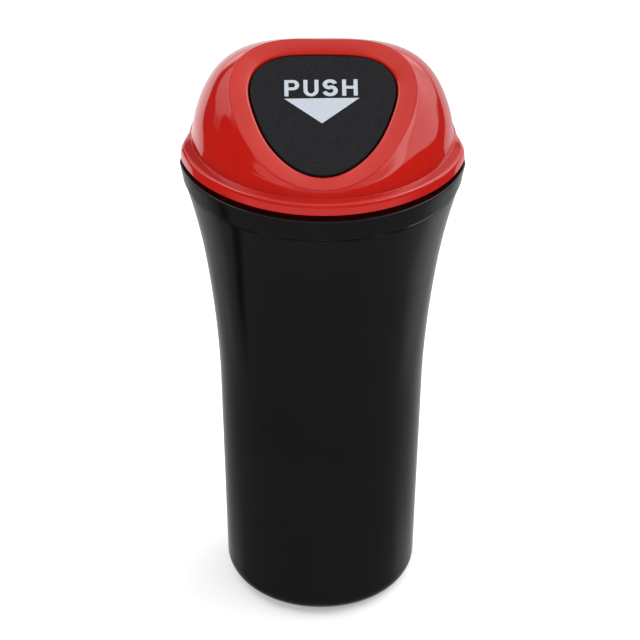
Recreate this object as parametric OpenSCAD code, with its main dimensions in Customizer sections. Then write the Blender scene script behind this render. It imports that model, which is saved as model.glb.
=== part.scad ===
// Push-lid waste bin for a vehicle's drink holder.
// A tall moulded cup carries a hood that pulls off to empty it. The hood has
// a slanted face, and a sprung flap in that face is pushed inwards.
// Origin: centre of the cup's flat underside. +Z up, the flap faces -Y.

/* [Cup] */
// Radius of the cup just above its rounded foot
foot_r = 33; // [31:0.5:34]
// Radius of the rounding under the foot
foot_fillet = 6.8; // [4:0.2:8]
// Draft of the straight lower wall, in mm of radius for each mm of height
draft = 0.022; // [0.01:0.002:0.03]
// Wall thickness of the cup
cup_wall = 1.8; // [1.4:0.1:2.2]
// Thickness of the cup's bottom
cup_floor = 2.4; // [2:0.2:4]

/* [Rim] */
// Outer radius of the lip, at the rim's top face
lip_r = 47.7; // [47.5:0.1:48]
// Height of the rim's top face
rim_z = 168.6; // [168:0.1:169]
// Inner radius of the mouth, which the hood's plug skirt enters
mouth_r = 42.9; // [42.8:0.1:43]
// Radius that the lip and collar draw in to at the back
lip_back_r = 44.6; // [44.5:0.1:44.8]

/* [Hood] */
// Radius of the hood's flange in front
flange_r = 46.7; // [46.4:0.1:47]
// How much wider the flange is at the sides
flange_side = 0.7; // [0:0.1:0.8]
// Radius of the hood's flange at the back
flange_back_r = 43.9; // [43.8:0.1:44.4]
// Height of the flange's underside
flange_z = 170.3; // [170:0.1:170.6]
// Radius of the dome where it stands on the flange
dome_r = 43.2; // [43:0.1:43.3]
// Wall thickness of the hood
hood_wall = 1.8; // [1.6:0.1:2]
// Slope of the slanted face
face_deg = 32; // [31:0.5:33]
// How far the band round the opening sinks towards the flap
band_sink = 1.4; // [1:0.1:1.8]
// Depth of the plug skirt below the rim's top face
plug_deep = 7; // [5:0.5:7]

/* [Flap] */
// Gap between the flap and the opening
flap_gap = 0.45; // [0.4:0.05:0.6]
// Thickness of the flap's plate
flap_t = 1.8; // [1.6:0.1:2]
// How far the flap is turned inwards
flap_open = 0; // [0:5:60]

/* [Hinge] */
// Radius of the hinge pin
pin_r = 1; // [0.9:0.05:1.1]
// Radial clearance of the pin in the hood's lugs
lug_clear = 0.02; // [0.02:0.01:0.05]
// Radial clearance of the pin in the flap's knuckles
knuckle_clear = 0.06; // [0.04:0.01:0.08]
// Radius of the return spring's wire
wire_r = 0.3; // [0.25:0.05:0.35]
// Turns of the return spring
turns = 8; // [6:1:9]

/* [Hidden] */
$fn = 96;

// ---------- cup ----------
// outer radius of the cup at height z: straight draft, then a flare
function cup_out(z) = foot_r + draft * (z - 8)
    + 0.00248 * pow(max(0, z - 80), 1.85)
    + 0.00125 * pow(max(0, z - 129), 2);
// heights of the wall's rings
cup_zs = concat([for (z = [foot_fillet : 12 : 80]) z], [for (z = [85 : 5 : 160]) z]);
crease_z = 161;
cup_outer = concat(
    [for (a = [-90 : 10 : -10]) [foot_r - foot_fillet + foot_fillet * cos(a),
                               foot_fillet + foot_fillet * sin(a)]],
    [for (z = cup_zs) [cup_out(z), z]],
    // fine groove under the collar
    [[cup_out(160), crease_z - 0.8], [cup_out(160) - 0.3, crease_z - 0.55], [cup_out(160) - 0.35, crease_z - 0.1]],
    // collar, out to the lip
    [[46.15, crease_z], [46.35, crease_z + 0.2], [46.5, 162], [46.95, 164.5], [lip_r - 0.07, rim_z - 0.35], [lip_r - 0.12, rim_z - 0.1],
     [lip_r - 0.35, rim_z]]
);
cup_inner = concat(
    [[mouth_r + 0.3, rim_z], [mouth_r, rim_z - 0.3], [mouth_r, 157.4]],
    [for (i = [1 : len(cup_zs) - 1]) let (z = cup_zs[len(cup_zs) - 1 - i]) [cup_out(z) - cup_wall, z]],
    [for (a = [0 : 15 : 90]) [foot_r - cup_wall - 5 + 5 * cos(a), cup_floor + 5 - 5 * sin(a)]]
);
function ring(r, z, a) = [r * cos(a), r * sin(a), z];
function mix(a, b, t) = a + (b - a) * t;
// lip, collar and flange stand proud at the front and sides and draw in behind:
// 0 at the front, 1 at the back
function ease(v, v0, v1) = let (t = min(1, max(0, (v - v0) / (v1 - v0)))) t * t * (3 - 2 * t);
function back(a) = ease(sin(a), -0.22, 0.06);
sectors = 84;
// rings of points, each ring a closed section, both ways round
module tube_of(rows) {
    n = len(rows);
    m = len(rows[0]);
    polyhedron(points = [for (r = rows) for (p = r) p],
        faces = [for (i = [0 : n - 1]) for (j = [0 : m - 1])
            for (f = [[[i, j], [i, j + 1], [i + 1, j + 1]], [[i, j], [i + 1, j + 1], [i + 1, j]]])
                [for (v = f) (v[0] % n) * m + v[1] % m]]);
}
// what is taken off the rim behind
module rear_cut() tube_of([for (i = [0 : sectors - 1])
    let (a = i * 360 / sectors, q = back(a), r = mix(lip_r + 0.3, lip_back_r, q))
    [ring(mix(lip_r + 0.3, 46.1, q), 160.9, a), ring(52, 160.9, a), ring(52, rim_z + 2, a), ring(r - 0.8 * q, rim_z + 2, a),
     ring(r - 0.8 * q, rim_z + 0.3, a), ring(r, rim_z - 0.5, a), ring(r, 163.2, a)]]);
module cup() color("#17171a") difference() {
    rotate_extrude() polygon(concat([[0, 0]], cup_outer, cup_inner, [[0, cup_floor]]));
    rear_cut();
}

// ---------- slanted face ----------
// p along the slope from the face's lowest point, n out of the face
face_o = [0, -41.8, 176.5];
sn = sin(face_deg);
cs = cos(face_deg);
function face(x, p, n) = [x, face_o[1] + p * cs - n * sn, face_o[2] + p * sn + n * cs];
// rounded triangles about the middle of the face, wide end up
mid_p = 31;
function tri(a, k) = k[0] + k[1] * sin(a) + k[2] * cos(2 * a) + k[3] * sin(3 * a) + k[4] * cos(4 * a)
    + k[5] * sin(5 * a) + k[6] * cos(6 * a);
edge_k = [29.1, -0.65, 1, 2.3, -0.45, 0.05, -0.1];
open_k = [23.1, -1.55, 0.6, 2.3, -0.25, 0.1, -0.25];
// the opening lies a little further up the slope
open_p = mid_p + 1.2;
function on_face(a, r, n) = face(r * cos(a), mid_p + r * sin(a), n);
function on_open(a, r, n) = face(r * cos(a), open_p + r * sin(a), n);

// ---------- hood ----------
dome_z = 173.8;
// radius of the neck that stands on the rim, under the flange
neck_r = 43.4;
// the dome rises from a circle and arches over to the raised edge of the face
function rise(a) = 14.4 + 7.1 * sin(a) + 1.8 * cos(2 * a);
function reach(a) = 6.6 + 5.7 * sin(a) - 0.7 * cos(2 * a);
function fall(a) = 33.5 - 15.5 * sin(a) - 12.5 * cos(2 * a);
lean = 0.1;
function bez(a, b, c, d, t) = pow(1 - t, 3) * a + 3 * pow(1 - t, 2) * t * b + 3 * (1 - t) * t * t * c + pow(t, 3) * d;
// s shrinks it by a wall thickness
function dome(a, t, s) =
    let (e = on_face(a, tri(a, edge_k) - s * 0.55, -s),
         o = [cos(a), sin(a), 0],
         b = ring(dome_r - s, dome_z, a))
    bez(b, b + rise(a) * ([0, 0, 1] - lean * o) - s * [0, 0, 0.35],
        e + reach(a) * (cos(fall(a)) * o - sin(fall(a)) * [0, 0, 1]), e, t);
// one closed loop of the shell's section at angle a
function section(a) = let (ro = tri(a, open_k), fr = mix(flange_r + flange_side * ease(abs(cos(a)), 0.6, 1), flange_back_r, back(a)), w = fr - dome_r) concat(
    // flange, from its underside out and up
    [ring(neck_r, flange_z, a), ring(fr - 0.3, flange_z, a), ring(fr, flange_z + 0.3, a), ring(fr - 0.07 * w, flange_z + 2.6, a),
     ring(fr - 0.11 * w, flange_z + 3.1, a), ring(fr - 0.2 * w, flange_z + 3.42, a), ring(fr - 0.38 * w, flange_z + 3.62, a)],
    // fillet into the dome
    [ring(dome_r + 0.14 * w, flange_z + 3.9, a), ring(dome_r + 0.03 * w, flange_z + 4.1, a)],
    [for (t = [0.14, 0.19, 0.26, 0.34, 0.43, 0.52, 0.61, 0.7, 0.79, 0.87, 0.94, 0.985]) dome(a, t, 0)],
    // raised edge, band, edge of the opening
    [on_face(a, tri(a, edge_k) - 0.5, 0.05), on_face(a, tri(a, edge_k) - 1.3, -0.25),
     on_open(a, ro + 0.7, -band_sink), on_open(a, ro + 0.15, -band_sink - 0.25), on_open(a, ro, -band_sink - 0.8),
     on_open(a, ro, -band_sink - hood_wall), on_open(a, ro + 1.2, -band_sink - hood_wall)],
    // inside of the dome
    [for (t = [0.96, 0.86, 0.74, 0.62, 0.5, 0.38, 0.26, 0.14, 0.05]) dome(a, t, hood_wall)],
    // plug skirt
    [ring(dome_r - hood_wall, 172.5, a), ring(mouth_r - 1.7, 170, a), ring(mouth_r - 1.7, rim_z - plug_deep + 0.4, a),
     ring(mouth_r - 1.4, rim_z - plug_deep, a), ring(mouth_r - 0.9, rim_z - plug_deep, a), ring(mouth_r - 0.5, rim_z - plug_deep + 1, a),
     ring(mouth_r - 0.3, rim_z + 0.1, a), ring(neck_r, rim_z + 0.1, a)]
);

// hinge line: along X under the upper end of the flap
pin_p = open_p + 15.2;
pin_n = -band_sink - flap_t - 3;
lug_x = 16.2;
lug_w = 3;
module at_face() translate(face_o) rotate([face_deg, 0, 0]) children();
module on_pin() at_face() translate([0, pin_p, pin_n]) rotate([0, 90, 0]) children();
// a lug: an ear round the pin and a foot that runs up into the band
module lug() {
    translate([0, pin_p, pin_n]) rotate([0, 90, 0]) cylinder(r = 2.4, h = lug_w);
    translate([0, pin_p, pin_n - 2.4]) cube([lug_w, 5.8, 2.4]);
    translate([0, pin_p + 3.5, pin_n - 2.4]) cube([lug_w, 2.3, 6.8]);
}
module hood() color("#c8201a") difference() {
    union() {
        tube_of([for (i = [0 : sectors - 1]) section(i * 360 / sectors)]);
        for (s = [0, 1]) mirror([s, 0, 0]) at_face() translate([lug_x, 0, 0]) lug();
    }
    on_pin() translate([0, 0, -25]) cylinder(r = pin_r + lug_clear, h = 50);
}

// ---------- flap ----------
function flap_pts(inset) = [for (i = [0 : 119]) let (a = i * 3, r = tri(a, open_k) - flap_gap - inset) [r * cos(a), open_p + r * sin(a)]];
module plate(inset, z0, z1) translate([0, 0, z0]) linear_extrude(z1 - z0) polygon(flap_pts(inset));
knuckle_x = 10.4;
knuckle_w = 5.4;
module knuckle() {
    difference() {
        union() {
            translate([0, pin_p, pin_n]) rotate([0, 90, 0]) cylinder(r = 2.4, h = knuckle_w);
            translate([0, pin_p - 2.4, pin_n]) cube([knuckle_w, 3.6, 3.5]);
        }
        translate([-1, pin_p, pin_n]) rotate([0, 90, 0]) cylinder(r = pin_r + knuckle_clear, h = knuckle_w + 2);
    }
}
module flap() color("#2c2c30") {
    top = -band_sink;
    translate([0, 0, 0]) {
        on_hinge(flap_open) {
            // plate with an eased front edge
            plate(0, top - flap_t, top - 0.4);
            plate(0.4, top - 0.5, top);
            // stiffening rib behind the plate, open at the hinge
            intersection() {
                difference() {
                    plate(1.6, top - flap_t - 1.6, top - flap_t + 0.1);
                    plate(2.8, top - flap_t - 2, top - flap_t + 0.2);
                }
                translate([-40, open_p - 24, -20]) cube([80, 31, 40]);
            }
            // stop that bears behind the lower edge of the opening
            translate([-5, open_p - 28.4, top - flap_t - 1.7]) cube([10, 6.2, 1.5]);
            translate([-5, open_p - 24.4, top - flap_t - 1.7]) cube([10, 2.2, 1.9]);
            // knuckles
            for (s = [0, 1]) mirror([s, 0, 0]) translate([knuckle_x, 0, 0]) knuckle();
        }
    }
}
// children are given in the face's own axes
module on_hinge(deg) at_face() translate([0, pin_p, pin_n]) rotate([deg, 0, 0]) translate([0, -pin_p, -pin_n]) children();

// ---------- pin and spring ----------
module hinge_pin() color("#c9ccd0") on_pin() {
    translate([0, 0, -19.6]) cylinder(r = pin_r, h = 39.2);
    translate([0, 0, 19.4]) cylinder(r = 1.7, h = 0.8);
}
// torsion spring: coil about the pin, one leg on the flap, one on the hood
coil_r = 1.75;
coil_x = 3.4;
spring_path = concat(
    // leg along the flap's back
    [for (q = [-12 : 3 : -3]) [-coil_x, q, coil_r + 0.08 * (-q - 3)]],
    [for (i = [0 : turns * 12]) let (a = 90 - i * 30, k = i / (turns * 12)) [-coil_x + 2 * coil_x * k, coil_r * cos(a), coil_r * sin(a)]],
    // leg up under the band
    [for (q = [1.5 : 1.5 : 6]) [coil_x, q, coil_r + 0.15 * (q - 1.5)]]
);
function unit(v) = v / norm(v);
function dir_at(i) = unit(spring_path[min(i + 1, len(spring_path) - 1)] - spring_path[max(i - 1, 0)]);
module return_spring() color("#8f9296") at_face() translate([0, pin_p, pin_n]) {
    k = 6;
    n = len(spring_path);
    rows = [for (i = [0 : n - 1]) let (d = dir_at(i), u = unit(cross(d, abs(d[0]) > 0.9 ? [0, 1, 0] : [1, 0, 0])), w = cross(d, u))
        [for (j = [0 : k - 1]) spring_path[i] + wire_r * (cos(j * 60) * u + sin(j * 60) * w)]];
    polyhedron(points = [for (r = rows) for (p = r) p],
        faces = concat([[for (j = [0 : k - 1]) j]], [[for (j = [0 : k - 1]) (n - 1) * k + k - 1 - j]],
            [for (i = [0 : n - 2]) for (j = [0 : k - 1]) [i * k + j, (i + 1) * k + j, (i + 1) * k + (j + 1) % k, i * k + (j + 1) % k]]));
}

cup();
hood();
flap();
hinge_pin();
return_spring();
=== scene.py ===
"""Looks of the push-lid car bin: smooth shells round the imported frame, procedural plastics, camera and light."""

import math

import bpy
import numpy as np
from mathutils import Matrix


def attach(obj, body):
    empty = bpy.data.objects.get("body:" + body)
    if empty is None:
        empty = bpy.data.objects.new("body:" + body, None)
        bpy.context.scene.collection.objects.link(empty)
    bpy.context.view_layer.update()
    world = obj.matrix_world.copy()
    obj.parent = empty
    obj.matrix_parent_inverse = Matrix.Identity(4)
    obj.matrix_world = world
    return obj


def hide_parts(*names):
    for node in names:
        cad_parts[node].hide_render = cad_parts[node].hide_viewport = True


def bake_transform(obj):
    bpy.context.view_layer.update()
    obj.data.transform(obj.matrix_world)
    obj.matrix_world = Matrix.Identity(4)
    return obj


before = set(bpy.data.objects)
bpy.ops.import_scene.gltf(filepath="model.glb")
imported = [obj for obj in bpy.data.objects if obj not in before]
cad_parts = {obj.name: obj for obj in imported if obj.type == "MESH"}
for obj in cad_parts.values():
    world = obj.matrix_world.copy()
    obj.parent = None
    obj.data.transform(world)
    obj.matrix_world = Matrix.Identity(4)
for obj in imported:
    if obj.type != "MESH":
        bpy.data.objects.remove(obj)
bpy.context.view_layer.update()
scene = bpy.context.scene
MM = 0.001


# ---------------------------------------------------------------- mesh help
def new_mesh(name, points, faces, body, smooth=True, nodes=()):
    me = bpy.data.meshes.new(name)
    me.from_pydata([tuple(float(c) * MM for c in p) for p in points], [], [tuple(int(i) for i in f) for f in faces])
    me.validate()
    me.update()
    if smooth:
        me.polygons.foreach_set("use_smooth", [True] * len(me.polygons))
    ob = bpy.data.objects.new(name, me)
    scene.collection.objects.link(ob)
    if body:
        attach(ob, body)
    if nodes:
        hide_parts(*nodes)
    return ob


def loop_faces(n, m, base=0, closed_n=True):
    """Quads of n rings of m points each, both ways closed."""
    f = []
    for i in range(n if closed_n else n - 1):
        k = (i + 1) % n
        for j in range(m):
            l = (j + 1) % m
            f.append((base + i * m + j, base + i * m + l, base + k * m + l, base + k * m + j))
    return f


def rounded(poly, radii, steps=5):
    """A 2D or 3D polyline, its inner corners rounded by short quadratic curves."""
    poly = [np.asarray(p, float) for p in poly]
    out = [poly[0]]
    for i in range(1, len(poly) - 1):
        r = radii[i] if i < len(radii) else 0
        a, b, c = poly[i - 1], poly[i], poly[i + 1]
        if r <= 0:
            out.append(b)
            continue
        ra = min(r, 0.48 * np.linalg.norm(a - b))
        rc = min(r, 0.48 * np.linalg.norm(c - b))
        p, q = b + (a - b) / np.linalg.norm(a - b) * ra, b + (c - b) / np.linalg.norm(c - b) * rc
        for t in np.linspace(0, 1, steps):
            out.append((1 - t) ** 2 * p + 2 * (1 - t) * t * b + t * t * q)
    out.append(poly[-1])
    return out


def lathe(profile, n, shape=lambda r, z, a: r):
    """Rings about Z of an (r, z) profile whose first and last points lie on the axis."""
    pts, faces = [], []
    body = profile[1:-1]
    pts.append((0, 0, profile[0][1]))
    pts.append((0, 0, profile[-1][1]))
    m = len(body)
    for i in range(n):
        a = 2 * math.pi * i / n
        for r, z in body:
            k = shape(r, z, a)
            pts.append((k * math.cos(a), k * math.sin(a), z))
    for i in range(n):
        k = (i + 1) % n
        faces.append((0, 2 + k * m, 2 + i * m))
        for j in range(m - 1):
            faces.append((2 + i * m + j, 2 + k * m + j, 2 + k * m + j + 1, 2 + i * m + j + 1))
        faces.append((1, 2 + i * m + m - 1, 2 + k * m + m - 1))
    return pts, faces


# ---------------------------------------------------------------- cup
FOOT_R, FOOT_FILLET, DRAFT, WALL, FLOOR_T = 33.0, 6.8, 0.022, 1.8, 2.4
LIP_R, RIM_Z, MOUTH_R, LIP_BACK = 47.7, 168.6, 42.9, 44.6


def mix(a, b, t):
    return a + (b - a) * t


def ease(v, v0, v1):
    t = min(1.0, max(0.0, (v - v0) / (v1 - v0)))
    return t * t * (3 - 2 * t)


def back(a):
    """0 at the front and sides, 1 behind, where lip, collar and flange draw in."""
    return ease(math.sin(a), -0.22, 0.06)


def rim_shape(r, z, a):
    if z < 160.9 or r < LIP_BACK - 0.8:
        return r
    lim = LIP_BACK - 0.8 * min(1.0, max(0.0, (z - 168.1) / 0.8)) if z > 163.2 else mix(46.1, LIP_BACK, (z - 160.9) / 2.3)
    return mix(r, min(r, lim), back(a))


def cup_out(z):
    return FOOT_R + DRAFT * (z - 8) + 0.00248 * max(0, z - 80) ** 1.85 + 0.00125 * max(0, z - 129) ** 2


def cup_profile():
    p = [(0, 0), (8, 0), (16, 0), (22, 0)]
    for a in np.linspace(-90, 0, 22):
        t = math.radians(a)
        p.append((FOOT_R - FOOT_FILLET + FOOT_FILLET * math.cos(t), FOOT_FILLET + FOOT_FILLET * math.sin(t)))
    for z in np.concatenate([np.arange(8, 80, 3.0), np.arange(80, 160, 1.6)]):
        p.append((cup_out(z), z))
    # groove, collar, lip: corners eased by small curves
    r = cup_out(160)
    top = [(cup_out(159.6), 159.6), (r, 160.05), (r - 0.36, 160.48), (r - 0.37, 160.9), (46.35, 161.0), (46.5, 162.0), (46.95, 164.5), (LIP_R, RIM_Z),
           (46.2, RIM_Z)]
    p += [tuple(q) for q in rounded(top, [0, 0.12, 0.08, 0.1, 0.35, 0.5, 1.5, 0.4, 0], 7)[:-1]]
    inner = [(46.2, RIM_Z), (45.2, RIM_Z), (44.2, RIM_Z), (MOUTH_R, RIM_Z), (MOUTH_R, 163), (MOUTH_R, 157.4), (cup_out(155) - WALL, 155)]
    p += [tuple(q) for q in rounded(inner, [0, 0, 0, 0.35, 0, 1.0, 0], 4)]
    for z in np.concatenate([np.arange(153, 80, -2.0), np.arange(80, 8, -6.0)]):
        p.append((cup_out(z) - WALL, z))
    for a in np.linspace(0, 90, 9):
        t = math.radians(a)
        p.append((FOOT_R - WALL - 5 + 5 * math.cos(t), FLOOR_T + 5 - 5 * math.sin(t)))
    p += [(18, FLOOR_T), (9, FLOOR_T), (0, FLOOR_T)]
    return p


pts, faces = lathe(cup_profile(), 288, rim_shape)
cup = new_mesh("cup_shell", pts, faces, "bin", nodes=["cup"])

# ---------------------------------------------------------------- slanted face
ALPHA = math.radians(32)
FO = np.array([0, -41.8, 176.5])
EX = np.array([1.0, 0, 0])
EP = np.array([0, math.cos(ALPHA), math.sin(ALPHA)])
EN = np.array([0, -math.sin(ALPHA), math.cos(ALPHA)])
MID_P = 31.0
EDGE_K = (29.1, -0.65, 1.0, 2.3, -0.45, 0.05, -0.1)
OPEN_K = (23.1, -1.55, 0.6, 2.3, -0.25, 0.1, -0.25)
OPEN_P = MID_P + 1.2


def tri(a, k):
    return (k[0] + k[1] * math.sin(a) + k[2] * math.cos(2 * a) + k[3] * math.sin(3 * a) + k[4] * math.cos(4 * a)
            + k[5] * math.sin(5 * a) + k[6] * math.cos(6 * a))


def face_pt(x, p, n):
    return FO + x * EX + p * EP + n * EN


def on_face(a, r, n):
    return face_pt(r * math.cos(a), MID_P + r * math.sin(a), n)


def on_open(a, r, n):
    return face_pt(r * math.cos(a), OPEN_P + r * math.sin(a), n)


# ---------------------------------------------------------------- hood
FLANGE_R, FLANGE_BACK, FLANGE_Z, DOME_R, DOME_Z, HOOD_WALL, SINK, PLUG = 46.7, 43.9, 170.3, 43.2, 173.8, 1.8, 1.4, 7.0
LEAN, NECK_R = 0.1, 43.4


def bez(a, b, c, d, t):
    return (1 - t) ** 3 * a + 3 * (1 - t) ** 2 * t * b + 3 * (1 - t) * t * t * c + t ** 3 * d


def dome(a, t, s=0.0):
    s1, c2 = math.sin(a), math.cos(2 * a)
    o = np.array([math.cos(a), math.sin(a), 0])
    up = np.array([0, 0, 1.0])
    e = on_face(a, tri(a, EDGE_K) - s * 0.55, -s)
    b = (DOME_R - s) * o + DOME_Z * up
    rise = 14.4 + 7.1 * s1 + 1.8 * c2
    reach = 6.6 + 5.7 * s1 - 0.7 * c2
    fall = math.radians(33.5 - 15.5 * s1 - 12.5 * c2)
    return bez(b, b + rise * (up - LEAN * o) - s * 0.35 * up, e + reach * (math.cos(fall) * o - math.sin(fall) * up), e, t)


def ring(r, z, a):
    return np.array([r * math.cos(a), r * math.sin(a), z])


def section(a):
    ro = tri(a, OPEN_K)
    re = tri(a, EDGE_K)
    fr = mix(FLANGE_R + 0.7 * ease(abs(math.cos(a)), 0.6, 1), FLANGE_BACK, back(a))
    w = fr - DOME_R
    # flange, ledge and foot of the dome
    low = [ring(NECK_R, FLANGE_Z, a), ring(fr, FLANGE_Z, a), ring(fr - 0.1 * w, FLANGE_Z + 3.6, a), ring(DOME_R + 0.02 * w, FLANGE_Z + 4.0, a),
           dome(a, 0.14)]
    out = rounded(low, [0, 0.3, 0.3 * w, 0.05 * w, 0], 7)[:-1]
    ts = np.linspace(0.14, 0.955, 34)
    out += [dome(a, t) for t in ts]
    dome_end = len(out)
    # raised edge, band, edge of the opening
    edge = [dome(a, 0.955), on_face(a, re, 0.1), on_open(a, ro + 0.1, -SINK), on_open(a, ro, -SINK - HOOD_WALL),
            on_open(a, ro + 1.2, -SINK - HOOD_WALL)]
    out += rounded(edge, [0, 1.0, 0.75, 0.2, 0], 9)[1:]
    # inside of the dome and the plug skirt
    out += [dome(a, t, HOOD_WALL) for t in np.linspace(0.95, 0.06, 14)]
    skirt = [ring(DOME_R - HOOD_WALL, 172.5, a), ring(MOUTH_R - 1.7, 170, a), ring(MOUTH_R - 1.7, RIM_Z - PLUG, a), ring(MOUTH_R - 0.7, RIM_Z - PLUG, a),
             ring(MOUTH_R - 0.5, RIM_Z - PLUG + 1, a), ring(MOUTH_R - 0.3, RIM_Z + 0.1, a), ring(NECK_R, RIM_Z + 0.1, a)]
    out += rounded(skirt, [0, 1, 0.4, 0.4, 0.3, 0.2, 0], 3)
    return out, dome_end


N_SEC = 288
rows = [section(2 * math.pi * i / N_SEC) for i in range(N_SEC)]
dome_end = rows[0][1]
rows = [r for r, _ in rows]
m_sec = len(rows[0])
pts = [p for r in rows for p in r]
faces = [(a, b, c, d) for a, b, c, d in loop_faces(N_SEC, m_sec)]
# the band between the raised edge and the opening has a finish of its own: a satin roughness, and a lighter red that is
# painted highlight standing in for the overhead light it reflects
band_faces = [i * m_sec + j for i in range(N_SEC) for j in range(dome_end + 5, dome_end + 25)]


# hinge lugs behind the band
PIN_R, PIN_P, PIN_N = 1.0, OPEN_P + 15.2, -SINK - 1.8 - 3.0
LUG_X, LUG_W = 16.2, 3.0


def prism_x(outline, hole, x0, x1, to3d, ease=0.25):
    """A closed solid along X with a (p, n) outline and an optional round hole in it: both are loops of equal length."""
    outline, hole = np.asarray(outline, float), None if hole is None else np.asarray(hole, float)
    n = len(outline)
    c = outline.mean(0)
    small = c + (outline - c) * (1 - ease / np.abs(outline - c).max())
    sign = 1 if x1 > x0 else -1
    loops = []
    if hole is not None:
        loops += [(hole, x0), (small, x0), (outline, x0 + sign * ease), (outline, x1 - sign * ease), (small, x1), (hole, x1)]
    else:
        loops += [(small, x0), (outline, x0 + sign * ease), (outline, x1 - sign * ease), (small, x1)]
    P = [to3d(x, q[0], q[1]) for l, x in loops for q in l]
    F = []
    k = len(loops)
    for i in range(k if hole is not None else k - 1):
        j = (i + 1) % k
        for s in range(n):
            t = (s + 1) % n
            F.append((i * n + s, i * n + t, j * n + t, j * n + s))
    if hole is None:
        F.append(tuple(range(n))[::-1])
        F.append(tuple((k - 1) * n + s for s in range(n)))
    if sign < 0:
        F = [f[::-1] for f in F]
    return P, F


def ear(root_p, root_n, r=2.4, n=48):
    """Outline of an ear: a circle round the pin, drawn out to a root block, sampled evenly by angle about the pin."""
    out = []
    for i in range(n):
        a = 2 * math.pi * i / n
        d = np.array([math.cos(a), math.sin(a)])
        k = r
        (p0, p1), (n0, n1) = root_p, root_n
        for lim, c in ((p1, 0), (-p0, 1), (n1, 2), (-n0, 3)):
            pass
        # distance along d to the block's edge, if the block reaches further than the circle
        far = []
        for lo, hi, comp in ((p0, p1, d[0]), (n0, n1, d[1])):
            if abs(comp) > 1e-9:
                far.append(max(lo / comp, hi / comp))
        k = max(k, min(far)) if far else k
        out.append((PIN_P + k * d[0], PIN_N + k * d[1]))
    return out


def circle_pn(r, n=48):
    return [(PIN_P + r * math.cos(2 * math.pi * i / n), PIN_N + r * math.sin(2 * math.pi * i / n)) for i in range(n)]


def add(P, F, p, f):
    b = len(P)
    P += list(p)
    F += [tuple(i + b for i in q) for q in f]


for s in (1, -1):
    x0, x1 = s * LUG_X, s * (LUG_X + LUG_W)
    p, f = prism_x(ear((-0.5, 5.8), (-2.4, 0.0)), circle_pn(PIN_R + 0.02), x0, x1, face_pt)
    add(pts, faces, p, f)
    foot = [(PIN_P + 3.5, PIN_N - 1.2), (PIN_P + 5.8, PIN_N - 1.2), (PIN_P + 5.8, PIN_N + 4.3), (PIN_P + 3.5, PIN_N + 4.3)]
    p, f = prism_x(foot, None, x0, x1, face_pt, 0.2)
    add(pts, faces, p, f)
hood = new_mesh("hood_shell", pts, faces, "lid", nodes=["hood"])

# ---------------------------------------------------------------- flap
GAP, FLAP_T = 0.45, 1.8
TOP = -SINK
N_FL = 288
P, F = [], []
# rings from the middle of the face out, over the eased edge, down the wall and back in behind
out_rings = [(0.001, TOP)] + [(k, TOP) for k in (0.12, 0.3, 0.5, 0.7, 0.85, 0.94)]
angles = [2 * math.pi * i / N_FL for i in range(N_FL)]
outline = [tri(a, OPEN_K) - GAP for a in angles]


def flap_ring(scale=None, inset=0.0, n=TOP):
    return [on_open(a, (r * scale if scale is not None else r - inset), n) for a, r in zip(angles, outline)]


rings = [flap_ring(scale=k) for k in (0.15, 0.35, 0.55, 0.72, 0.86, 0.93)]
rings += [flap_ring(inset=0.9), flap_ring(inset=0.62)]
for a in np.linspace(0, 90, 7):
    t = math.radians(a)
    rings.append(flap_ring(inset=0.45 * (1 - math.sin(t)), n=TOP - 0.45 * (1 - math.cos(t))))
rings += [flap_ring(inset=0, n=TOP - FLAP_T + 0.25), flap_ring(inset=0.07, n=TOP - FLAP_T + 0.07), flap_ring(inset=0.25, n=TOP - FLAP_T)]
rings += [flap_ring(scale=k, n=TOP - FLAP_T) for k in (0.93, 0.6, 0.25)]
P = [face_pt(0, OPEN_P, TOP)] + [p for r in rings for p in r] + [face_pt(0, OPEN_P, TOP - FLAP_T)]
for i in range(N_FL):
    F.append((0, 1 + i, 1 + (i + 1) % N_FL))
for k in range(len(rings) - 1):
    for i in range(N_FL):
        j = (i + 1) % N_FL
        F.append((1 + k * N_FL + i, 1 + (k + 1) * N_FL + i, 1 + (k + 1) * N_FL + j, 1 + k * N_FL + j))
last = len(P) - 1
for i in range(N_FL):
    F.append((last, 1 + (len(rings) - 1) * N_FL + (i + 1) % N_FL, 1 + (len(rings) - 1) * N_FL + i))

# stiffening rib behind the plate, a bent bar that follows the outline between its two upper ends
rib = [i for i, a in enumerate(angles) if (outline[i] - 2.2) * math.sin(a) < 6.8]
start = next(i for i in rib if (i - 1) % N_FL not in rib)
rib = [(start + i) % N_FL for i in range(len(rib))]
sec = [(1.6, TOP - FLAP_T + 0.2), (1.6, TOP - FLAP_T - 1.45), (1.75, TOP - FLAP_T - 1.6), (2.65, TOP - FLAP_T - 1.6), (2.8, TOP - FLAP_T - 1.45),
       (2.8, TOP - FLAP_T + 0.2)]
rp, rf = [], []
for i in rib:
    rp += [on_open(angles[i], outline[i] - ins, n) for ins, n in sec]
ms = len(sec)
for i in range(len(rib) - 1):
    for j in range(ms):
        l = (j + 1) % ms
        rf.append((i * ms + j, i * ms + l, (i + 1) * ms + l, (i + 1) * ms + j))
rf.append(tuple(range(ms))[::-1])
rf.append(tuple((len(rib) - 1) * ms + j for j in range(ms)))
add(P, F, rp, rf)


def slab(x0, x1, p0, p1, n0, n1):
    return prism_x([(p0, n0), (p1, n0), (p1, n1), (p0, n1)], None, x0, x1, face_pt, 0.15)


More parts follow.
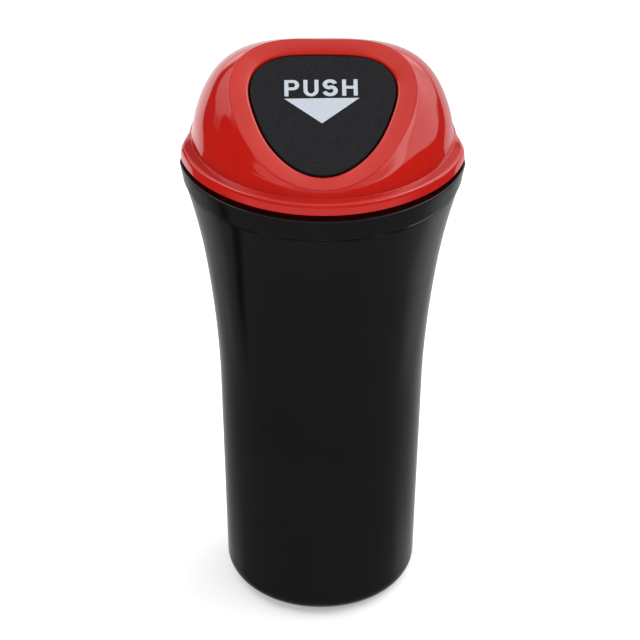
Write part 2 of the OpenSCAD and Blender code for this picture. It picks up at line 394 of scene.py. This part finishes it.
# stop tab with its web, and the knuckles
b = TOP - FLAP_T
for args in ((-5, 5, OPEN_P - 28.4, OPEN_P - 22.2, b - 1.7, b - 0.2), (-5, 5, OPEN_P - 24.4, OPEN_P - 22.2, b - 1.6, b + 0.2)):
    p, f = slab(*args)
    add(P, F, p, f)
for s in (1, -1):
    x0, x1 = s * 10.4, s * (10.4 + 5.4)
    p, f = prism_x(ear((-2.4, 1.2), (0.0, 3.2)), circle_pn(PIN_R + 0.06), x0, x1, face_pt)
    add(P, F, p, f)
flap = new_mesh("flap_plate", P, F, "flap", nodes=["flap"])

# ---------------------------------------------------------------- pin and spring
p_prof = [(0, -19.6), (0.85, -19.6), (1.0, -19.45), (1.0, 19.4), (1.62, 19.4), (1.7, 19.5), (1.7, 20.0), (1.5, 20.2), (0, 20.2)]
pp, pf = lathe(p_prof, 40)
centre = face_pt(0, PIN_P, PIN_N)
pp = [centre + q[2] * EX + q[0] * np.array([0, 0, -1.0]) + q[1] * np.array([0, 1.0, 0]) for q in pp]
pin = new_mesh("pin_rod", pp, pf, "lid", nodes=["hinge_pin"])

COIL_R, COIL_X, WIRE, TURNS = 1.75, 3.4, 0.3, 8
path = [(-COIL_X, q, COIL_R + 0.08 * (-q - 3)) for q in np.linspace(-12, -2, 12)]
path += [(-COIL_X + 2 * COIL_X * k, COIL_R * math.cos(a), COIL_R * math.sin(a))
         for k, a in ((i / (TURNS * 28), math.radians(90 - i * 360 / 28)) for i in range(TURNS * 28 + 1))]
path += [(COIL_X, q, COIL_R + 0.15 * max(0, q - 1.5)) for q in np.linspace(1.0, 6, 8)]
path = np.array([centre + x * EX + p * EP + n * EN for x, p, n in path])
sp, sf = [], []
K = 12
prev = None
for i in range(len(path)):
    d = path[min(i + 1, len(path) - 1)] - path[max(i - 1, 0)]
    d /= np.linalg.norm(d)
    if prev is None:
        u = np.cross(d, EX)
    else:
        u = prev - np.dot(prev, d) * d
    u /= np.linalg.norm(u)
    prev = u
    w = np.cross(d, u)
    sp += [path[i] + WIRE * (math.cos(2 * math.pi * j / K) * u + math.sin(2 * math.pi * j / K) * w) for j in range(K)]
for i in range(len(path) - 1):
    for j in range(K):
        l = (j + 1) % K
        sf.append((i * K + j, i * K + l, (i + 1) * K + l, (i + 1) * K + j))
sf.append(tuple(range(K))[::-1])
sf.append(tuple((len(path) - 1) * K + j for j in range(K)))
spring = new_mesh("spring_wire", sp, sf, None, nodes=["return_spring"])
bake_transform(spring)


# ---------------------------------------------------------------- print on the flap
def ink(polys, name):
    """Flat closed plates, each given as quads of (x, p) corners, a hair above the flap's face."""
    P, F = [], []
    for q in polys:
        lo, hi = TOP - 0.02, TOP + 0.03
        n = len(q)
        b = len(P)
        P += [face_pt(x, p, hi) for x, p in q] + [face_pt(x, p, lo) for x, p in q]
        F.append(tuple(b + i for i in range(n)))
        F.append(tuple(b + n + i for i in reversed(range(n))))
        F += [(b + i, b + n + i, b + n + (i + 1) % n, b + (i + 1) % n) for i in range(n)]
    return new_mesh(name, P, F, "flap", smooth=False)


def bar(x0, y0, x1, y1):
    return [(x0, y0), (x1, y0), (x1, y1), (x0, y1)]


def arc(cx, cy, rx, ry, a0, a1, tx, ty, n=16):
    """Quads of a curved stroke: outer radii rx, ry; stroke widths tx (sides) and ty (top and bottom)."""
    out = []
    t = [math.radians(a0 + (a1 - a0) * i / n) for i in range(n + 1)]
    for u, v in zip(t, t[1:]):
        q = [(cx + rx * math.cos(u), cy + ry * math.sin(u)), (cx + rx * math.cos(v), cy + ry * math.sin(v)),
             (cx + (rx - tx) * math.cos(v), cy + (ry - ty) * math.sin(v)), (cx + (rx - tx) * math.cos(u), cy + (ry - ty) * math.sin(u))]
        out.append(q if a1 > a0 else q[::-1])
    return out


CAP, ST, TH = 6.0, 1.3, 1.05  # cap height, upright and level stroke widths


def letter_p(x, y):
    w, h = 4.75, 3.75
    rr = h / 2
    out = [bar(x, y, x + ST, y + CAP)]
    cx = x + w - rr
    out.append(bar(x + ST, y + CAP - TH, cx, y + CAP))
    out.append(bar(x + ST, y + CAP - h, cx, y + CAP - h + TH))
    out += arc(cx, y + CAP - rr, rr, rr, -90, 90, ST, TH)
    return out


def letter_u(x, y):
    w = 4.85
    r = w / 2
    return [bar(x, y + 2.2, x + ST, y + CAP), bar(x + w - ST, y + 2.2, x + w, y + CAP)] + arc(x + r, y + 2.2, r, 2.3, 180, 360, ST, TH, 24)


def letter_s(x, y):
    """Two stacked bowls, swept as one stroke."""
    w = 4.9
    pts = []
    ru, rl = 1.27, 1.42
    cx = x + w / 2
    yu, yl = y + CAP - TH / 2 - ru + 0.05, y + TH / 2 + rl - 0.05
    wu, wl = w / 2 - ST / 2 - 0.15, w / 2 - ST / 2
    for a in np.linspace(12, 262, 26):
        t = math.radians(a)
        pts.append((cx + wu * math.cos(t), yu + ru * math.sin(t)))
    for a in np.linspace(82, -168, 26):
        t = math.radians(a)
        pts.append((cx + wl * math.cos(t), yl + rl * math.sin(t)))
    pts = np.array(pts)
    out = []
    d = np.gradient(pts, axis=0)
    d /= np.linalg.norm(d, axis=1)[:, None]
    nrm = np.stack([-d[:, 1], d[:, 0]], 1)
    half = 0.5 * (TH + (ST - TH) * np.abs(d[:, 1]) + 0.1)
    L, R = pts + nrm * half[:, None], pts - nrm * half[:, None]
    for i in range(len(pts) - 1):
        out.append([tuple(R[i]), tuple(R[i + 1]), tuple(L[i + 1]), tuple(L[i])])
    return out


def letter_h(x, y):
    w = 5.0
    return [bar(x, y, x + ST, y + CAP), bar(x + w - ST, y, x + w, y + CAP), bar(x + ST, y + CAP / 2 - TH / 2 + 0.1, x + w - ST, y + CAP / 2 + TH / 2 + 0.1)]


def askew(polys, deg=1.15, cx=-0.5, cp=36.0):
    """The print stands a degree off level."""
    c, s = math.cos(math.radians(deg)), math.sin(math.radians(deg))
    return [[(cx + (x - cx) * c - (p - cp) * s, cp + (x - cx) * s + (p - cp) * c) for x, p in q] for q in polys]


y0 = 35.45
word = letter_p(-12.4, y0) + letter_u(-6.25, y0) + letter_s(-0.15, y0) + letter_h(6.2, y0)
word_print = ink(askew(word), "word_print")
arrow_print = ink(askew([[(-0.45, 25.4), (11.75, 34.6), (-12.5, 34.6)]]), "arrow_print")


# ---------------------------------------------------------------- materials
def material(name):
    mat = bpy.data.materials.new(name)
    mat.use_nodes = True
    nt = mat.node_tree
    bsdf = nt.nodes["Principled BSDF"]
    tc = nt.nodes.new("ShaderNodeTexCoord")
    return mat, nt, bsdf, tc.outputs["Object"]


def noise(nt, vec, scale, detail=3.0, rough=0.5, distort=0.0):
    n = nt.nodes.new("ShaderNodeTexNoise")
    n.inputs["Scale"].default_value = scale
    n.inputs["Detail"].default_value = detail
    n.inputs["Roughness"].default_value = rough
    n.inputs["Distortion"].default_value = distort
    nt.links.new(vec, n.inputs["Vector"])
    return n.outputs["Fac"]


def ramp(nt, fac, a, b, ca, cb):
    r = nt.nodes.new("ShaderNodeValToRGB")
    r.color_ramp.elements[0].position, r.color_ramp.elements[1].position = a, b
    r.color_ramp.elements[0].color, r.color_ramp.elements[1].color = (*ca, 1), (*cb, 1)
    nt.links.new(fac, r.inputs["Fac"])
    return r.outputs["Color"]


def span(nt, fac, lo, hi, a=0.3, b=0.7):
    m = nt.nodes.new("ShaderNodeMapRange")
    m.inputs["From Min"].default_value, m.inputs["From Max"].default_value = a, b
    m.inputs["To Min"].default_value, m.inputs["To Max"].default_value = lo, hi
    nt.links.new(fac, m.inputs["Value"])
    return m.outputs["Result"]


def bump(nt, height, strength, distance, normal=None):
    b = nt.nodes.new("ShaderNodeBump")
    b.inputs["Strength"].default_value = strength
    b.inputs["Distance"].default_value = distance
    nt.links.new(height, b.inputs["Height"])
    if normal is not None:
        nt.links.new(normal, b.inputs["Normal"])
    return b.outputs["Normal"]


def gloss(name, dark, light, rough, ior_level=0.5):
    """Moulded gloss plastic: faint flow clouding, a little unevenness in the polish, orange peel too fine to see but in reflections."""
    mat, nt, bsdf, vec = material(name)
    nt.links.new(ramp(nt, noise(nt, vec, 38, 2, 0.5), 0.3, 0.7, dark, light), bsdf.inputs["Base Color"])
    nt.links.new(span(nt, noise(nt, vec, 260, 4, 0.6), rough * 0.8, rough * 1.3), bsdf.inputs["Roughness"])
    wave = bump(nt, noise(nt, vec, 55, 1), 0.05, 0.0005)
    nt.links.new(bump(nt, noise(nt, vec, 1500, 1), 0.03, 0.00003, wave), bsdf.inputs["Normal"])
    bsdf.inputs["Specular IOR Level"].default_value = ior_level
    return mat


cup_mat = gloss("cup_gloss_black", (0.0026, 0.0026, 0.003), (0.0036, 0.0036, 0.0042), 0.1)
hood_mat = gloss("hood_gloss_red", (0.435, 0.0075, 0.0035), (0.475, 0.0095, 0.005), 0.055)
# band: satin roughness is its own finish; its red, lighter than the hood's, is painted highlight for the overhead light
# mirrored in it
band_painted_highlight_mat = gloss("band_satin_red_painted_highlight", (0.475, 0.0145, 0.007), (0.52, 0.0175, 0.009), 0.1)

flap_mat, nt, bsdf, vec = material("flap_matt_black")
nt.links.new(ramp(nt, noise(nt, vec, 900, 5, 0.6), 0.35, 0.65, (0.009, 0.009, 0.011), (0.014, 0.014, 0.0165)), bsdf.inputs["Base Color"])
nt.links.new(span(nt, noise(nt, vec, 500, 4), 0.5, 0.62), bsdf.inputs["Roughness"])
bsdf.inputs["Specular IOR Level"].default_value = 0.12
grain = nt.nodes.new("ShaderNodeTexVoronoi")
grain.inputs["Scale"].default_value = 2200
nt.links.new(vec, grain.inputs["Vector"])
nt.links.new(bump(nt, noise(nt, vec, 2600, 3), 0.25, 0.00006, bump(nt, grain.outputs["Distance"], 0.2, 0.00006)), bsdf.inputs["Normal"])

ink_mat, nt, bsdf, vec = material("white_ink")
nt.links.new(ramp(nt, noise(nt, vec, 1400, 4), 0.3, 0.7, (0.475, 0.53, 0.59), (0.52, 0.57, 0.635)), bsdf.inputs["Base Color"])
nt.links.new(span(nt, noise(nt, vec, 900, 3), 0.42, 0.55), bsdf.inputs["Roughness"])
nt.links.new(bump(nt, noise(nt, vec, 2400, 3), 0.15, 0.00003), bsdf.inputs["Normal"])

steel_mat, nt, bsdf, vec = material("drawn_steel")
stretch = nt.nodes.new("ShaderNodeMapping")
stretch.inputs["Scale"].default_value = (0.15, 1, 1)
nt.links.new(vec, stretch.inputs["Vector"])
nt.links.new(ramp(nt, noise(nt, stretch.outputs["Vector"], 2500, 4), 0.3, 0.7, (0.46, 0.46, 0.48), (0.62, 0.62, 0.64)), bsdf.inputs["Base Color"])
nt.links.new(span(nt, noise(nt, stretch.outputs["Vector"], 3500, 3), 0.22, 0.38), bsdf.inputs["Roughness"])
nt.links.new(bump(nt, noise(nt, stretch.outputs["Vector"], 5000, 2), 0.1, 0.00003), bsdf.inputs["Normal"])
bsdf.inputs["Metallic"].default_value = 1.0

for ob, mat in ((cup, cup_mat), (hood, hood_mat), (flap, flap_mat), (word_print, ink_mat), (arrow_print, ink_mat), (pin, steel_mat), (spring, steel_mat)):
    ob.data.materials.clear()
    ob.data.materials.append(mat)
# the band's faces get the lighter red of painted highlight
hood.data.materials.append(band_painted_highlight_mat)
for i in band_faces:
    hood.data.polygons[i].material_index = 1
for name, mat in (("cup", cup_mat), ("hood", hood_mat), ("flap", flap_mat), ("hinge_pin", steel_mat), ("return_spring", steel_mat)):
    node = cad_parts[name]
    node.data.materials.clear()
    node.data.materials.append(mat)

# ---------------------------------------------------------------- floor, light, camera
fm = bpy.data.meshes.new("floor")
fm.from_pydata([(-6, -6, 0), (6, -6, 0), (6, 6, 0), (-6, 6, 0)], [], [(0, 1, 2, 3)])
floor = bpy.data.objects.new("floor", fm)
scene.collection.objects.link(floor)
floor_mat, nt, bsdf, vec = material("floor_paper")
nt.links.new(ramp(nt, noise(nt, vec, 14, 3), 0.3, 0.7, (0.86, 0.86, 0.86), (0.88, 0.88, 0.88)), bsdf.inputs["Base Color"])
bsdf.inputs["Roughness"].default_value = 0.9
bsdf.inputs["Specular IOR Level"].default_value = 0.1
# lit from behind a little, as a light table is, so that the shadow stays faint
bsdf.inputs["Emission Color"].default_value = (1, 1, 1, 1)
bsdf.inputs["Emission Strength"].default_value = 0.3
floor.data.materials.append(floor_mat)
floor.visible_glossy = False

world = bpy.data.worlds.new("studio")
scene.world = world
world.use_nodes = True
wn = world.node_tree
bg = wn.nodes["Background"]
bg.inputs["Strength"].default_value = 1.0
wtc = wn.nodes.new("ShaderNodeTexCoord")
sep = wn.nodes.new("ShaderNodeSeparateXYZ")
wn.links.new(wtc.outputs["Generated"], sep.inputs["Vector"])


def wmath(op, a, b=None):
    m = wn.nodes.new("ShaderNodeMath")
    m.operation = op
    for i, v in enumerate((a, b)):
        if v is None:
            continue
        if isinstance(v, (int, float)):
            m.inputs[i].default_value = v
        else:
            wn.links.new(v, m.inputs[i])
    return m.outputs["Value"]


def wstep(value, lo, hi, to_lo=0.0, to_hi=1.0):
    m = wn.nodes.new("ShaderNodeMapRange")
    m.interpolation_type = "SMOOTHSTEP"
    m.inputs["From Min"].default_value, m.inputs["From Max"].default_value = lo, hi
    m.inputs["To Min"].default_value, m.inputs["To Max"].default_value = to_lo, to_hi
    wn.links.new(value, m.inputs["Value"])
    return m.outputs["Result"]


# the studio, by bearing round the bin (degrees, 0 in front, right positive) and height above the horizon
bearing = wmath("DEGREES", wmath("ARCTAN2", sep.outputs["X"], wmath("MULTIPLY", sep.outputs["Y"], -1.0)))
height = wmath("DEGREES", wmath("ARCSINE", sep.outputs["Z"]))
turn = wmath("MULTIPLY_ADD", bearing, 1 / 360)
turn.node.inputs[2].default_value = 0.5


def round_about(lo, hi, table):
    """A value between lo and hi read off a table by bearing; straight lines between its rows."""
    r = wn.nodes.new("ShaderNodeValToRGB")
    el = r.color_ramp.elements
    for i, (az, v) in enumerate(table):
        at = az / 360 + 0.5
        if i == 0:
            e = el[0]
            e.position = at
        elif i == len(table) - 1:
            e = el[len(el) - 1]
            e.position = at
        else:
            e = el.new(at)
        k = (v - lo) / (hi - lo)
        e.color = (k, k, k, 1)
    wn.links.new(turn, r.inputs["Fac"])
    return wmath("ADD", wmath("MULTIPLY", r.outputs["Color"], hi - lo), lo)


# softboxes on both sides: their lower edge, and how bright they are
box_edge = round_about(-20, 70, [(-180, 60), (-168, 30), (-154, 25), (-141, 24), (-132, 19), (-120, 8), (-110, 9), (-100, 17), (-90, 33), (-80, 44), (-68, 54), (-50, 60), (40, 52), (60, 47),
                                 (70, 39), (80, 29), (90, 19), (100, 9), (110, 2.5), (122, 0), (135, -4.5), (148, 0), (160, 12), (180, 60)])
box_light = round_about(0, 3, [(-180, 0), (-166, 0), (-154, 0.9), (-138, 0.95), (-128, 1.5), (-105, 1.5), (-88, 1.4), (-84, 1.3), (-81, 0.4), (-70, 0.35), (-64, 0.1), (-60, 0),
                               (38, 0.0), (44, 0.75), (58, 0.9), (66, 1.45), (80, 1.85), (100, 2.3), (115, 2.9), (128, 2.5), (142, 1.7), (156, 0.9), (168, 0.4), (180, 0)])
box_mask = wstep(wmath("SUBTRACT", height, box_edge), -1.2, 1.2)
box_fall = wstep(height, -5, 38, 0.5, 1.0)
box_top = wstep(height, 56, 68, 1.0, 0.0)
boxes = wmath("MULTIPLY", wmath("MULTIPLY", box_mask, box_light), wmath("MULTIPLY", box_fall, box_top))
# white sheet hung behind, seen low on both sides
sheet_edge = round_about(-50, 40, [(-180, -8), (-170, 0), (-160, 12), (-151, 15), (-141, 4), (-131, -6), (-122, -9), (-119, -40), (-110, -45), (118, -45), (123, -40),
                                   (127, -13), (137, -10), (150, 0), (160, 9), (170, 2), (180, -9)])
sheet_light = round_about(0, 3, [(-180, 0.7), (-170, 1.0), (-150, 1.3), (-135, 1.4), (-122, 1.1), (-117, 0), (121, 0), (126, 0.8), (140, 0.85), (160, 0.7), (180, 0.6)])
sheet = wmath("MULTIPLY", wstep(wmath("SUBTRACT", sheet_edge, height), -1.5, 1.5), wmath("MULTIPLY", sheet_light, wstep(height, -31.5, -29)))
# soft upright strip in front, over the camera
strip = wmath("MULTIPLY", round_about(0, 1, [(-60, 0), (-34, 0.04), (-22, 0.24), (-6, 0.26), (0, 0.38), (6, 0.26), (18, 0.22), (24, 0.03), (60, 0)]), wmath("MULTIPLY", wstep(height, -14, 12), wstep(height, 22, 38, 1.0, 0.2)))
# box overhead, mirrored in the band and as a line along the flange's edge; u to the right and v to the front, as tangents off the zenith
over_u = wmath("ABSOLUTE", wmath("DIVIDE", sep.outputs["X"], wmath("MAXIMUM", sep.outputs["Z"], 0.01)))
over_v = wmath("MULTIPLY", wmath("DIVIDE", sep.outputs["Y"], wmath("MAXIMUM", sep.outputs["Z"], 0.01)), -1.0)
over_light = wmath("MULTIPLY", wstep(over_u, 0.52, 0.64, 0.86, 1.6), wstep(over_u, 0.95, 1.1, 1.0, 0.0))
over = wmath("MULTIPLY", wmath("MULTIPLY", over_light, wstep(over_v, 0.6, 0.88, 1.0, 0.0)), wmath("MULTIPLY", wstep(over_v, -0.82, -0.62), wstep(height, 10, 20)))
# its left front corner is masked
over_left = wmath("DIVIDE", sep.outputs["X"], wmath("MAXIMUM", sep.outputs["Z"], 0.01))
mask = wmath("MULTIPLY", wstep(over_left, -0.55, -0.4, 1.0, 0.0), wmath("MULTIPLY", wstep(over_v, 0.05, 0.15), wstep(over_v, 0.5, 0.6, 1.0, 0.0)))
over = wmath("MULTIPLY", wmath("MULTIPLY", over, wstep(over_v, -0.55, -0.1, 0.78, 1.0)), wmath("SUBTRACT", 1.0, mask))
behind = wmath("MULTIPLY", round_about(0, 1, [(-180, 0.14), (-160, 0.1), (-140, 0), (140, 0), (160, 0.1), (180, 0.14)]),
               wmath("MULTIPLY", wstep(height, 2, 20), wstep(height, 38, 44, 1.0, 0.2)))
# window behind, mirrored as a line along the hood's top
window = wmath("MULTIPLY", round_about(0, 3, [(-180, 1.2), (-148, 1.2), (-142, 0), (142, 0), (148, 1.2), (180, 1.2)]), wmath("MULTIPLY", wstep(height, 6, 9), wstep(height, 23, 27, 1.0, 0.0)))
# pale wall low in front, mirrored in the flange's side
skirting = wmath("MULTIPLY", round_about(0, 1, [(-180, 0), (-80, 0), (-60, 0.5), (0, 0.6), (60, 0.5), (80, 0), (180, 0)]),
                 wmath("MULTIPLY", wstep(height, -29, -26), wstep(height, -15, -11, 1.0, 0.0)))
# the table's far side, mirrored in the cup
table = wmath("MULTIPLY", round_about(0, 1, [(-180, 0.42), (-160, 0.36), (-145, 0.22), (-130, 0.12), (-115, 0.06), (-80, 0.06), (0, 0.09), (80, 0.07), (100, 0.1), (125, 0.18),
                                             (145, 0.32), (160, 0.42), (180, 0.45)]), wstep(height, -29, -32))
# light from low at the sides, mirrored in the collar and the flare
low_side = wmath("MULTIPLY", round_about(0, 1, [(-180, 0), (-140, 0.06), (-120, 0.08), (-110, 0), (100, 0), (118, 0.14), (135, 0.12), (150, 0.04), (180, 0)]),
                 wmath("MULTIPLY", wstep(height, -36.5, -38.5), wstep(height, -48, -43)))
total = 0.07
for part in (boxes, sheet, strip, over, behind, window, skirting, table, low_side):
    total = wmath("ADD", part, total)
# a dark upright at the left, mirrored as a stripe under the collar
gap = wmath("MULTIPLY", round_about(0, 1, [(-180, 0), (-106, 0), (-102, 0.9), (-95, 0.9), (-91, 0), (180, 0)]), wmath("MULTIPLY", wstep(height, -37.5, -44), wstep(height, -62, -54)))
total = wmath("MULTIPLY", total, wmath("SUBTRACT", 1.0, gap))
wn.links.new(total, bg.inputs["Color"])


def area(name, at, to, size, power, size_y=None):
    from mathutils import Vector

    la = bpy.data.lights.new(name, "AREA")
    la.energy = power
    la.shape = "RECTANGLE"
    la.size = size
    la.size_y = size_y or size
    ob = bpy.data.objects.new(name, la)
    ob.location = at
    ob.rotation_euler = (Vector(to) - Vector(at)).to_track_quat("-Z", "Y").to_euler()
    scene.collection.objects.link(ob)
    return ob


# broad fills that light the plastic's colour but aren't mirrored in its gloss
for fill in (area("fill_top", (0, 0.1, 1.6), (0, 0, 0.1), 1.6, 2), area("fill_front", (-0.4, -1.6, 0.6), (0, 0, 0.12), 1.4, 12.5)):
    fill.visible_glossy = False

cam = bpy.data.cameras.new("camera")
cam_ob = bpy.data.objects.new("camera", cam)
scene.collection.objects.link(cam_ob)
scene.camera = cam_ob
cam.sensor_width = 36
cam.lens = 3000 / 640 * 36
cam.clip_start, cam.clip_end = 0.01, 20
from mathutils import Euler, Matrix

cam_ob.matrix_world = Matrix.Translation((-0.57 * MM, -862.4 * MM, 652.9 * MM)) @ Euler((math.radians(90 - 32.59), 0, 0)).to_matrix().to_4x4() @ Matrix.Rotation(
    math.radians(0.31), 4, "Z")

scene.view_settings.view_transform = "Standard"
